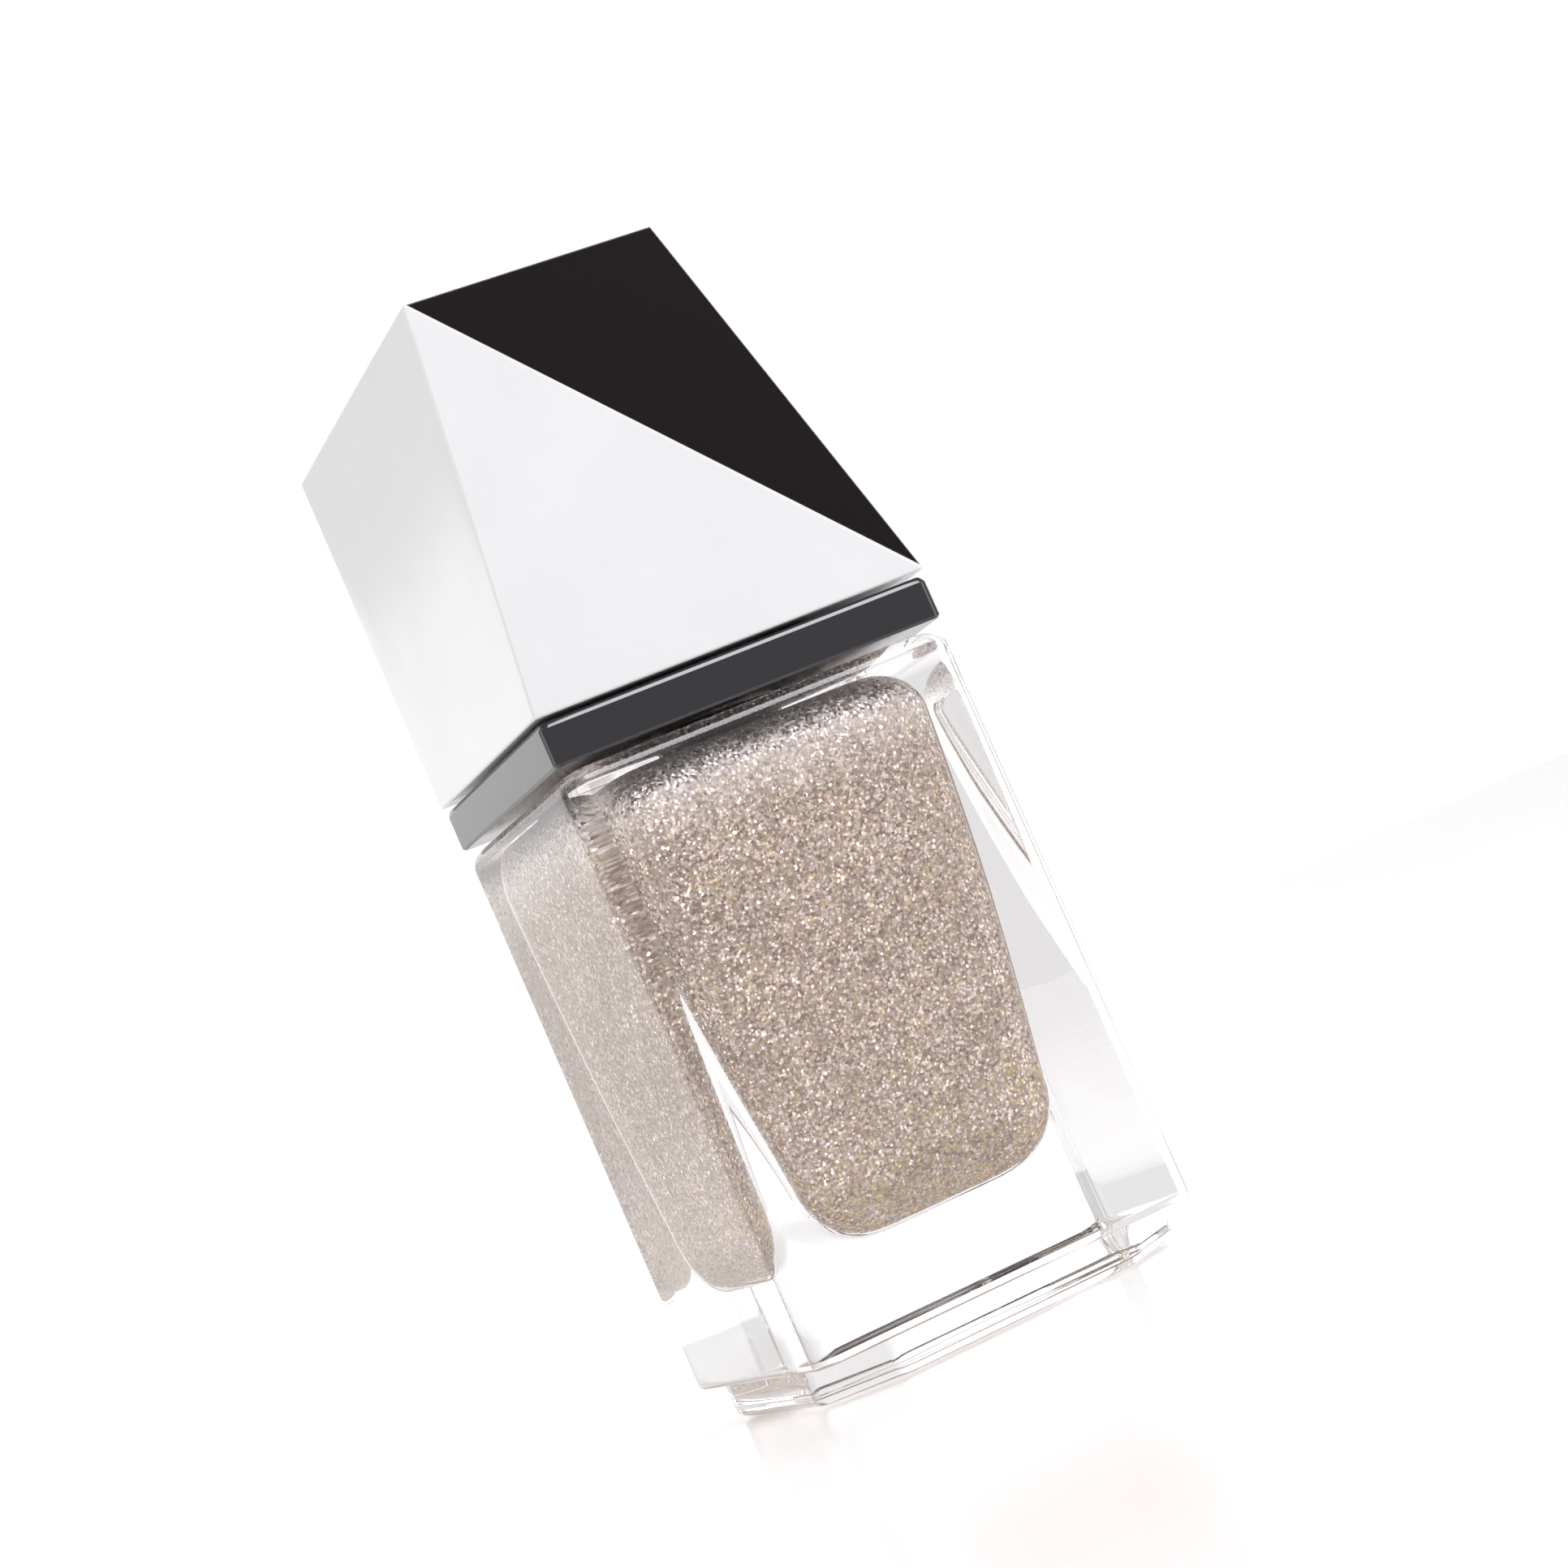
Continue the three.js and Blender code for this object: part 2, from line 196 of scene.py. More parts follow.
class Tree:
    """A node tree, with short calls to add and link nodes. A value is a socket or a plain number."""

    def __init__(self, tree):
        self.tree = tree

    def add(self, kind, **settings):
        node = self.tree.nodes.new(kind)
        for key, value in settings.items():
            setattr(node, key, value)
        return node

    def link(self, source, target):
        self.tree.links.new(source, target)

    def put(self, value, socket):
        if isinstance(value, bpy.types.NodeSocket):
            self.link(value, socket)
        else:
            socket.default_value = value

    def maths(self, operation, first, second):
        node = self.add("ShaderNodeMath", operation=operation)
        self.put(first, node.inputs[0])
        self.put(second, node.inputs[1])
        return node.outputs[0]

    def product(self, first, second):
        return self.maths("MULTIPLY", first, second)

    def vector_maths(self, operation, first, second):
        node = self.add("ShaderNodeVectorMath", operation=operation)
        self.put(first, node.inputs[0])
        self.put(second, node.inputs[1])
        return node.outputs["Value" if operation == "DOT_PRODUCT" else "Vector"]

    def parts(self, vector):
        """The outputs X, Y and Z of a vector."""
        node = self.add("ShaderNodeSeparateXYZ")
        self.link(vector, node.inputs["Vector"])
        return node.outputs

    def remap(self, value, low, high, to_low, to_high, kind="LINEAR"):
        node = self.add("ShaderNodeMapRange", interpolation_type=kind)
        self.link(value, node.inputs["Value"])
        limits = {"From Min": low, "From Max": high, "To Min": to_low, "To Max": to_high}
        for key, number in limits.items():
            node.inputs[key].default_value = number
        return node.outputs["Result"]

    def ramp(self, value, stops):
        node = self.add("ShaderNodeValToRGB")
        elements = node.color_ramp.elements
        while len(elements) < len(stops):
            elements.new(1.0)
        for element, (position, color) in zip(elements, stops):
            element.position = position
            element.color = (*color, 1.0)
        self.link(value, node.inputs["Fac"])
        return node.outputs["Color"]

    def mix_value(self, factor, first, second):
        """The first number where factor is 0, the second where it is 1."""
        node = self.add("ShaderNodeMix", data_type="FLOAT")
        self.put(factor, node.inputs[0])
        self.put(first, node.inputs[2])
        self.put(second, node.inputs[3])
        return node.outputs[0]


class Nodes(Tree):
    """A new material's node tree."""

    def __init__(self, name):
        self.material = bpy.data.materials.new(name)
        self.material.use_nodes = True
        super().__init__(self.material.node_tree)
        self.tree.nodes.clear()
        self.output = self.add("ShaderNodeOutputMaterial")
        self.place = self.add("ShaderNodeTexCoord").outputs["Object"]

    def noise(self, scale, detail=4.0, roughness=0.55, place=None):
        node = self.add("ShaderNodeTexNoise")
        node.inputs["Scale"].default_value = scale
        node.inputs["Detail"].default_value = detail
        node.inputs["Roughness"].default_value = roughness
        self.link(place or self.place, node.inputs["Vector"])
        return node.outputs["Fac"]

    def cells(self, scale):
        node = self.add("ShaderNodeTexVoronoi")
        node.inputs["Scale"].default_value = scale
        self.link(self.place, node.inputs["Vector"])
        return node

    def channels(self, color):
        """The outputs Red, Green and Blue of a colour."""
        node = self.add("ShaderNodeSeparateColor")
        self.link(color, node.inputs["Color"])
        return node.outputs

    def mix(self, factor, first, second, blend="MIX"):
        node = self.add("ShaderNodeMix", data_type="RGBA", blend_type=blend)
        self.put(factor, node.inputs[0])
        for value, socket in ((first, node.inputs[6]), (second, node.inputs[7])):
            self.put(value if isinstance(value, bpy.types.NodeSocket) else (*value, 1.0), socket)
        return node.outputs[2]

    def mix_vector(self, factor, first, second):
        node = self.add("ShaderNodeMix", data_type="VECTOR")
        self.link(factor, node.inputs[0])
        self.link(first, node.inputs[4])
        self.link(second, node.inputs[5])
        return node.outputs[1]

    def bump(self, height, strength, distance, normal=None):
        node = self.add("ShaderNodeBump")
        node.inputs["Strength"].default_value = strength
        node.inputs["Distance"].default_value = distance
        self.link(height, node.inputs["Height"])
        if normal is not None:
            self.link(normal, node.inputs["Normal"])
        return node.outputs["Normal"]

    def principled(self, **values):
        node = self.add("ShaderNodeBsdfPrincipled")
        for key, value in values.items():
            self.put(value, node.inputs[key.replace("_", " ")])
        return node.outputs["BSDF"]

    def surface(self, shader):
        self.link(shader, self.output.inputs["Surface"])
        return self.material


# ---------------------------------------------------------------- materials


def gloss_material(name, color, dust_color, roughness, ior=1.5):
    """High-gloss moulded plastic: faint orange peel, hairline scratches, handling haze and fine dust."""
    n = Nodes(name)
    haze = n.noise(180, 5)
    peel = n.noise(900, 2)
    stretch = n.add("ShaderNodeMapping")
    stretch.inputs["Scale"].default_value = SCRATCH_STRETCH
    stretch.inputs["Rotation"].default_value = SCRATCH_TURN
    n.link(n.place, stretch.inputs["Vector"])
    hairs = n.noise(1.0, 2.0, 0.5, stretch.outputs["Vector"])
    dust = n.ramp(n.cells(DUST_SCALE).outputs["Distance"], [(0.0, (1, 1, 1)), (0.045, (0, 0, 0))])
    dusty = n.product(dust, n.remap(haze, 0.5, 0.75, 0.0, 0.5))
    hazy_color = [c * HAZE_DIMMING for c in color]
    clouded = n.mix(n.remap(haze, 0.3, 0.7, 0.0, 1.0), color, hazy_color)
    base = n.mix(dusty, clouded, dust_color)
    rough = n.remap(haze, 0.35, 0.7, roughness, roughness + 0.05)
    normal = n.bump(peel, 0.05, 0.00002)
    normal = n.bump(hairs, 0.03, 0.00001, normal)
    return n.surface(n.principled(Base_Color=base, Roughness=rough, IOR=ior, Normal=normal))


def glass_material():
    """Thick pressed glass: faint flow waves, finger haze, and open to the lamps that light the polish."""
    n = Nodes("clear_glass")
    rough = n.remap(n.noise(140, 3), 0.5, 0.8, 0.0, 0.03)
    normal = n.bump(n.noise(90, 1), 0.12, 0.00012)
    glass = n.principled(
        Base_Color=GLASS_TINT,
        Roughness=rough,
        IOR=1.5,
        Transmission_Weight=1.0,
        Normal=normal,
    )
    clear = n.add("ShaderNodeBsdfTransparent")
    clear.inputs["Color"].default_value = GLASS_SHADE
    rays = n.add("ShaderNodeLightPath")
    mix = n.add("ShaderNodeMixShader")
    n.link(rays.outputs["Is Shadow Ray"], mix.inputs[0])
    n.link(glass, mix.inputs[1])
    n.link(clear.outputs["BSDF"], mix.inputs[2])
    return n.surface(mix.outputs["Shader"])


def flake_color(n, fine, coarse):
    """Colour of the flakes: each its own shade, some gold ones that settle low, a few near-white ones that
    are painted glints, and painted light that makes them paler near the top.
    """
    height = n.parts(n.place)["Z"]
    pick = n.channels(coarse.outputs["Color"])
    shades = n.ramp(n.channels(fine.outputs["Color"])["Red"], FLAKE_SHADES)
    gold_share = n.remap(height, GOLD_TOP, GOLD_BOTTOM, 0.06, 0.4)
    golden = n.mix(n.maths("LESS_THAN", pick["Green"], gold_share), shades, GOLD_FLAKE)
    # Painted glints: a few round flakes are painted near-white.
    bright = n.remap(pick["Red"], 0.955, 0.965, 0.0, 1.0)
    disc = n.remap(coarse.outputs["Distance"], 0.2, 0.34, 1.0, 0.0)
    flakes = n.mix(n.product(bright, disc), golden, PAINTED_GLINT)
    cloud = n.ramp(n.noise(230, 4), [(0.3, (0.86, 0.85, 0.84)), (0.7, (1.08, 1.07, 1.06))])
    base = n.mix(1.0, flakes, cloud, "MULTIPLY")
    # Painted highlight and shade: each flake is painted lighter in its middle and darker towards its rim.
    painted_flake_shading = n.ramp(fine.outputs["Distance"], [(0.3, (1.2, 1.19, 1.18)), (0.75, (0.82, 0.80, 0.78))])
    base = n.mix(1.0, base, painted_flake_shading, "MULTIPLY")
    # Painted light: the glitter is mixed towards a paler colour near the top, for light falling in from
    # above.
    top_light_mask = n.remap(height, PAINTED_LIGHT_START, PAINTED_LIGHT_END, 0.0, 0.5)
    return n.mix(top_light_mask, base, PAINTED_TOP_LIGHT)


def flake_normal(n, fine, surface):
    """Each flake's tilt: its own random direction pulls the surface's normal aside."""
    centred = n.vector_maths("SUBTRACT", fine.outputs["Color"], (0.5, 0.5, 0.5))
    scaled = n.add("ShaderNodeVectorMath", operation="SCALE")
    n.link(centred, scaled.inputs[0])
    scaled.inputs["Scale"].default_value = FLAKE_TILT
    tilted = n.vector_maths("ADD", surface.outputs["Normal"], scaled.outputs["Vector"])
    normal = n.add("ShaderNodeVectorMath", operation="NORMALIZE")
    n.link(tilted, normal.inputs[0])
    return normal.outputs["Vector"]


def glitter_material(name, wet=0.12, behind_glass=True):
    """Champagne-silver glitter in clear lacquer: every cell is a flake with its own tilt and brightness."""
    n = Nodes(name)
    fine = n.cells(FLAKE_SCALE)
    coarse = n.cells(FLAKE_SCALE * 0.5)
    surface = n.add("ShaderNodeNewGeometry")
    pick = n.channels(fine.outputs["Color"])
    base = flake_color(n, fine, coarse)
    normal = flake_normal(n, fine, surface)
    metallic = n.remap(pick["Blue"], 0.0, 1.0, 0.4, 0.95)
    rough = n.remap(pick["Green"], 0.0, 1.0, 0.16, 0.45)
    if behind_glass:
        # Fewer flakes float at the very top, so it is greyer there.
        # Painted shade: the upward-facing top of the polish is painted greyer, for the shade under the
        # collar.
        up = n.parts(surface.outputs["Normal"])["Z"]
        base = n.mix(n.remap(up, 0.35, 0.6, 0.0, 0.45), base, PAINTED_TOP_SHADE)
        # Lacquer is thinner than glass to light, so a wall between them turns into a mirror at a glance.
        glance = n.add("ShaderNodeFresnel")
        glance.inputs["IOR"].default_value = GLANCE_IOR
        mirror = n.product(glance.outputs["Fac"], n.remap(up, 0.25, 0.6, 1.0, 0.0))
        base = n.mix(mirror, base, MIRROR_WHITE)
        metallic = n.mix_value(mirror, metallic, 1.0)
        rough = n.mix_value(mirror, rough, 0.02)
        normal = n.mix_vector(mirror, normal, surface.outputs["Normal"])
    return n.surface(
        n.principled(
            Base_Color=base,
            Metallic=metallic,
            Roughness=rough,
            Normal=normal,
            Coat_Weight=wet,
            Coat_Roughness=0.05,
        )
    )


def moulded_material(name, color, roughness, grain=1800):
    """Satin moulded plastic with a fine spark-eroded grain."""
    n = Nodes(name)
    texture = n.noise(grain, 6, 0.65)
    wear = n.noise(300, 4)
    worn_color = [c * 1.35 + 0.004 for c in color]
    base = n.mix(n.remap(wear, 0.35, 0.7, 0.0, 1.0), color, worn_color)
    rough = n.remap(wear, 0.3, 0.7, roughness - 0.07, roughness + 0.1)
    normal = n.bump(texture, 0.25, 0.00004)
    return n.surface(n.principled(Base_Color=base, Roughness=rough, Normal=normal))


def steel_material():
    n = Nodes("steel")
    marks = n.noise(1500, 6, 0.7)
    base = n.mix(marks, (0.52, 0.52, 0.53), (0.68, 0.68, 0.69))
    rough = n.remap(marks, 0.3, 0.7, 0.14, 0.3)
    normal = n.bump(marks, 0.1, 0.00002)
    return n.surface(n.principled(Base_Color=base, Metallic=1.0, Roughness=rough, Normal=normal))


def floor_material():
    n = Nodes("pale_floor")
    mottle = n.noise(25, 5)
    base = n.mix(mottle, (0.86, 0.86, 0.86), (0.89, 0.887, 0.89))
    rough = n.remap(mottle, 0.3, 0.7, 0.16, 0.22)
    return n.surface(
        n.principled(
            Base_Color=base,
            Roughness=rough,
            IOR=1.45,
            Emission_Color=(1, 1, 1, 1),
            Emission_Strength=FLOOR_GLOW,
        )
    )


# ---------------------------------------------------------------- mesh helpers


def new_object(name, vertices, faces, smooth=True):
    mesh = bpy.data.meshes.new(name)
    mesh.from_pydata([tuple(v) for v in vertices], [], faces)
    mesh.validate()
    mesh.update()
    if smooth:
        mesh.shade_smooth()
    obj = bpy.data.objects.new(name, mesh)
    bpy.context.scene.collection.objects.link(obj)
    return obj


CORNER_STEPS = 12
SIDE_STEPS = 20
RING = 4 * (CORNER_STEPS + SIDE_STEPS)


def corner_loop(corner_points):
    """A closed loop in plan from one corner's points, turned to all four corners and joined by sides."""
    corners = []
    for quarter in range(4):
        turn = Matrix.Rotation(quarter * math.pi / 2, 2)
        corners.append([turn @ Vector(p) for p in corner_points])
    loop = []
    for quarter in range(4):
        loop += corners[quarter]
        start, end = corners[quarter][-1], corners[(quarter + 1) % 4][0]
        loop += [start.lerp(end, step / SIDE_STEPS) for step in range(1, SIDE_STEPS)]
    return loop


def square_loop(half, radius):
    """A square with rounded corners."""
    centre = half - radius
    points = []
    for step in range(CORNER_STEPS + 1):
        angle = math.pi / 2 * step / CORNER_STEPS
        points.append((centre + radius * math.cos(angle), centre + radius * math.sin(angle)))
    return corner_loop(points)


def cut_loop(half, cut):
    """A square with cut corners."""
    start, end = Vector((half, half - cut)), Vector((half - cut, half))
    return corner_loop([tuple(start.lerp(end, step / CORNER_STEPS)) for step in range(CORNER_STEPS + 1)])


def ring_angle(index):
    return math.pi / 4 + (index - CORNER_STEPS / 2) * 2 * math.pi / RING


def round_loop(radius):
    angles = [ring_angle(i) for i in range(RING)]
    return [Vector((radius * math.cos(angle), radius * math.sin(angle))) for angle in angles]


def soft_square_loop(half):
    """The superellipse of the chamber's plan."""
    points = []
    power = CHAMBER_SQUARENESS
    for i in range(RING):
        c, s = math.cos(ring_angle(i)), math.sin(ring_angle(i))
        reach = half * (abs(c) ** power + abs(s) ** power) ** (-1 / power)
        points.append(Vector((reach * c, reach * s)))
    return points


def arc(x, z, radius, start, end, steps):
    """(x, z) points of an arc, angles in degrees."""
    angles = [math.radians(start + (end - start) * i / steps) for i in range(steps + 1)]
    return [(x + radius * math.cos(a), z + radius * math.sin(a)) for a in angles]


def ring_object(name, rings, closed=False):
    """A skin through rings of (loop, height). An open stack is closed by a flat end at each side."""
    vertices = [Vector((p.x, p.y, z)) for loop, z in rings for p in loop]
    count = len(rings)
    faces = []
    for level in range(count if closed else count - 1):
        low, high = level * RING, (level + 1) % count * RING
        for i in range(RING):
            j = (i + 1) % RING
            faces.append((low + i, low + j, high + j, high + i))
    if not closed:
        for level, backwards in ((0, True), (count - 1, False)):
            centre = len(vertices)
            vertices.append(Vector((0, 0, rings[level][1])))
            for i in range(RING):
                a, b = level * RING + i, level * RING + (i + 1) % RING
                faces.append((centre, b, a) if backwards else (centre, a, b))
    return new_object(name, vertices, faces)


def keep_flats(obj, angle=40):
    """Smooth shading that leaves edges sharper than the angle, and flat faces flat."""
    obj.data.set_sharp_from_angle(angle=math.radians(angle))
    weighted = obj.modifiers.new("flat_faces", "WEIGHTED_NORMAL")
    weighted.keep_sharp = True
    weighted.weight = 80


def paint(obj, material):
    obj.data.materials.clear()
    obj.data.materials.append(material)


def piece(obj, material, body, slot, *replaced):
    """Paints a finished piece, sets it riding and hides the parts of the model that it replaces."""
    paint(obj, material)
    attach(obj, body)
    if replaced:
        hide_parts(*replaced)
    return obj


def cut_away(obj, cutter):
    """Takes the cutter's volume out of obj and removes the cutter."""
    modifier = obj.modifiers.new("cut", "BOOLEAN")
    modifier.operation = "DIFFERENCE"
    modifier.solver = "EXACT"
    modifier.object = cutter
    depsgraph = bpy.context.evaluated_depsgraph_get()
    mesh = bpy.data.meshes.new_from_object(obj.evaluated_get(depsgraph), depsgraph=depsgraph)
    obj.modifiers.remove(modifier)
    obj.data = mesh
    bpy.data.objects.remove(cutter)


# ---------------------------------------------------------------- glass and polish


def chamber_profile(grow):
    """(half width, height) of the chamber's wall from the floor's middle up to the ceiling."""
    floor = CHAMBER_FLOOR - grow
    low = CHAMBER_LOW + grow
    high = CHAMBER_HIGH + grow
    ceiling = CHAMBER_CEILING + grow
    flat = low - CHAMBER_FLOOR_RADIUS
    points = [(flat * share, floor) for share in (0.2, 0.6)]
    points += arc(flat, floor + CHAMBER_FLOOR_RADIUS, CHAMBER_FLOOR_RADIUS, -90, 0, 18)
    wall_start = points[-1]
    wall_end = (high, ceiling - CHAMBER_CEILING_RADIUS)
    for step in range(1, 16):
        share = step / 16
        swell = 0.28 * MM * math.sin(math.pi * share)
        points.append(
            (
                wall_start[0] + (wall_end[0] - wall_start[0]) * share + swell,
                wall_start[1] + (wall_end[1] - wall_start[1]) * share,
            )
        )
    points += arc(high - CHAMBER_CEILING_RADIUS, wall_end[1], CHAMBER_CEILING_RADIUS, 0, 90, 10)
    return points


def ridge_height(angle, z):
    """How far the neck's thread stands out at an angle and a height. It fades in and out at its ends."""
    height = 0.0
    for turn in range(2):
        along = angle / (2 * math.pi) + turn
        if along > THREAD_TURNS:
            continue
        offset = (z - THREAD_START - THREAD_PITCH * along) / THREAD_HALF_WIDTH
        fade = min(1.0, along / 0.06, (THREAD_TURNS - along) / 0.06)
        height = max(height, fade * THREAD_CREST * math.sqrt(max(0.0, 1 - offset * offset)))
    return height


def neck_loop(z):
    points = []
    for i in range(RING):
        angle = ring_angle(i) % (2 * math.pi)
        radius = NECK_RADIUS + ridge_height(angle, z)
        points.append(Vector((radius * math.cos(angle), radius * math.sin(angle))))
    return points


def glass_bottle():
    rings = []
    for share in PUNT_STEPS:
        height = PUNT_DEPTH * math.cos(share * math.pi / 2)
        rings.append((round_loop(share * PUNT_RADIUS), height))
    for x, z in arc(FOOT_HALF - FOOT_ROUNDING, FOOT_ROUNDING, FOOT_ROUNDING, -90, 0, 6):
        rings.append((cut_loop(x, FOOT_CUT), z))
    neck_in = GLASS_HALF - HEEL_ROUNDING
    rings.append((cut_loop(FOOT_HALF, FOOT_CUT), FOOT_HEIGHT))
    for x, z in arc(neck_in, FOOT_HEIGHT + HEEL_ROUNDING, HEEL_ROUNDING, -90, 0, 5):
        rings.append((square_loop(x, EDGE_RADIUS), z))
    shoulder = SHOULDER_Z - SHOULDER_ROUNDING
    for step in range(1, 12):
        z = FOOT_HEIGHT + HEEL_ROUNDING + (shoulder - FOOT_HEIGHT - HEEL_ROUNDING) * step / 12
        rings.append((square_loop(GLASS_HALF, EDGE_RADIUS), z))
    for x, z in arc(GLASS_HALF - SHOULDER_ROUNDING, shoulder, SHOULDER_ROUNDING, 0, 90, 14):
        rings.append((square_loop(x, EDGE_RADIUS), z))
    for x, z in arc(NECK_RADIUS + 0.6 * MM, SHOULDER_Z + 0.6 * MM, 0.6 * MM, 270, 180, 5):
        rings.append((round_loop(x), z))
    neck_start = SHOULDER_Z + 0.7 * MM
    neck_end = NECK_TOP - RIM_ROUNDING
    levels = 84
    for step in range(levels + 1):
        z = neck_start + (neck_end - neck_start) * step / levels
        rings.append((neck_loop(z), z))
    for x, z in arc(NECK_RADIUS - RIM_ROUNDING, neck_end, RIM_ROUNDING, 15, 90, 5):
        rings.append((round_loop(x), z))
    for x, z in arc(NECK_BORE + RIM_ROUNDING, neck_end, RIM_ROUNDING, 90, 180, 5):
        rings.append((round_loop(x), z))
    flare = 0.7 * MM
    for step in range(1, 8):
        rings.append((round_loop(NECK_BORE), neck_end + (CHAMBER_CEILING + flare - neck_end) * step / 8))
    for x, z in arc(NECK_BORE + flare, CHAMBER_CEILING + flare, flare, 180, 270, 5):
        rings.append((round_loop(x), z))
    for x, z in reversed(chamber_profile(0)):
        rings.append((soft_square_loop(x), z))
    return ring_object("bottle_glass", rings)


def nail_polish():
    rings = [(soft_square_loop(x), z) for x, z in chamber_profile(CONTACT)]
    top = CHAMBER_CEILING + 0.25 * MM
    rings.append((round_loop(NECK_BORE + 0.2 * MM), top))
    rings.append((round_loop(NECK_BORE - 0.2 * MM), top - 0.02 * MM))
    bore_bottom = tuft_low.z - 0.3 * MM
    for x, z in arc(BRUSH_ROOM + 0.2 * MM, top - 0.1 * MM, 0.2 * MM, 90, 180, 4):
        rings.append((round_loop(x), z))
    for step in range(1, 6):
        rings.append((round_loop(BRUSH_ROOM), top + (bore_bottom - top) * step / 5))
    return ring_object("glitter_polish", rings)


# ---------------------------------------------------------------- cap


def crown_height(x, y):
    """Height of the slanted crown above the cap's bottom."""
    rear_left = Vector((-CAP_HALF, CAP_HALF, REAR_LEFT_Z))
    normal = (CROWN - APEX).cross(rear_left - APEX)
    return APEX.z - (normal.x * (x - APEX.x) + normal.y * (y - APEX.y)) / normal.z


def left_face_x(y, z):
    """The left face leans in with height: most at its front edge and not at all at its rear edge."""
    lean = (APEX.x + CAP_HALF) / APEX.z
    return lean * z * (CAP_HALF - y) / (2 * CAP_HALF) - CAP_HALF


def cap_block():
    """The whole cap as one closed block, its left face a fine grid and the others flat."""
    steps = 12
    grid = []
    for row in range(steps + 1):
        y = -CAP_HALF + 2 * CAP_HALF * row / steps
        for level in range(steps + 1):
            share = level / steps
            top = APEX.z + (REAR_LEFT_Z - APEX.z) * row / steps
            z = top * share
            grid.append(Vector((left_face_x(y, z), y, z)))
    vertices = list(grid)
    faces = []
    stride = steps + 1
    for row in range(steps):
        for level in range(steps):
            a = row * stride + level
            faces.append((a, a + 1, a + stride + 1, a + stride))
    toe, heel, rear_top, crown = range(len(grid), len(grid) + 4)
    vertices += [
        TOE,
        Vector((CAP_HALF, CAP_HALF, 0)),
        Vector((CAP_HALF, CAP_HALF, crown_height(CAP_HALF, CAP_HALF))),
        CROWN,
    ]
    front_edge = list(range(stride))
    rear_edge = list(range(steps * stride, (steps + 1) * stride))
    bottom_edge = [row * stride for row in range(steps + 1)]
    top_edge = [row * stride + steps for row in range(steps + 1)]
    faces.append([toe] + list(reversed(front_edge)))
    faces.append([toe, front_edge[-1], crown][::-1])
    faces.append([toe, heel, rear_top, crown])
    faces.append([heel] + rear_edge + [rear_top])
    faces.append(top_edge + [rear_top, crown])
    faces.append([toe] + bottom_edge + [heel])
    block = new_object("faceted_shell", vertices, faces)
    shape = bmesh.new()
    shape.from_mesh(block.data)
    bmesh.ops.recalc_face_normals(shape, faces=shape.faces)
    sharp = [e for e in shape.edges if e.is_manifold and e.calc_face_angle() > math.radians(15)]
    bmesh.ops.bevel(shape, geom=sharp, offset=CAP_BEVEL, segments=3, profile=0.5, affect="EDGES")
    shape.to_mesh(block.data)
    shape.free()
    block.data.transform(Matrix.Translation((0, 0, CAP_BOTTOM)))
    return block


def facet_plate(name, inset, depth, lift, bevel=0.0):
    """A triangular plate in the facet's plane, drawn in from its corners' sides by inset."""
    corners = [TOE, CROWN, APEX]
    normal = (CROWN - TOE).cross(APEX - TOE).normalized()
    inner = []
    for i, corner in enumerate(corners):
        before, after = corners[i - 1], corners[(i + 1) % 3]
        towards_before = (before - corner).normalized()
        towards_after = (after - corner).normalized()
        half_angle = towards_before.angle(towards_after) / 2
        middle = (towards_before + towards_after).normalized()
        inner.append(corner + middle * inset / math.sin(half_angle))
    up = Vector((0, 0, CAP_BOTTOM))
    outer_face = [p + normal * lift + up for p in inner]
    inner_face = [p - normal * depth + up for p in inner]
    faces = [(0, 1, 2), (5, 4, 3), (0, 3, 4, 1), (1, 4, 5, 2), (2, 5, 3, 0)]
    plate = new_object(name, outer_face + inner_face, faces)
    shape = bmesh.new()
    shape.from_mesh(plate.data)
    bmesh.ops.recalc_face_normals(shape, faces=shape.faces)
    if bevel:
        edges = list(shape.edges)
        bmesh.ops.bevel(shape, geom=edges, offset=bevel, segments=3, profile=0.5, affect="EDGES")
    shape.to_mesh(plate.data)
    shape.free()
    return plate


def cap_shell():
    block = cap_block()
    recess_inset = PANEL_RIM - PANEL_GROOVE
    cut_away(block, facet_plate("recess", recess_inset, PANEL_DEPTH + PANEL_GROOVE, 1 * MM))
    socket_ends = (CAP_BOTTOM - 1 * MM, SOCKET_TOP)
    cut_away(block, ring_object("socket", [(round_loop(SOCKET_RADIUS), z) for z in socket_ends]))
    block.data.shade_smooth()
    keep_flats(block)
    return block


def facet_panel():
    panel = facet_plate("black_facet", PANEL_RIM, PANEL_DEPTH, 0, bevel=0.06 * MM)
    keep_flats(panel)
    return panel


def collar_ring():
    """Square outside and round inside, with a fine bevel below and a steep one above."""
    low, high = collar_low.z, collar_high.z
    outline = [
        (COLLAR_HALF - COLLAR_BEVEL / 2, low),
        (COLLAR_HALF, low + COLLAR_BEVEL / 2),
        (COLLAR_HALF, (low + high) / 2),
        (COLLAR_HALF, high - COLLAR_BEVEL - COLLAR_EDGE),
        (COLLAR_HALF - COLLAR_BEVEL / 2, high - COLLAR_EDGE),
        (COLLAR_HALF - COLLAR_BEVEL / 2 - COLLAR_EDGE, high),
    ]
    rings = [(square_loop(x, COLLAR_CORNER), z) for x, z in outline]
    rings += [(round_loop(COLLAR_HOLE), z) for z in (high, low)]
    ring = ring_object("square_collar", rings, closed=True)
    keep_flats(ring, 25)
    return ring


# ---------------------------------------------------------------- brush


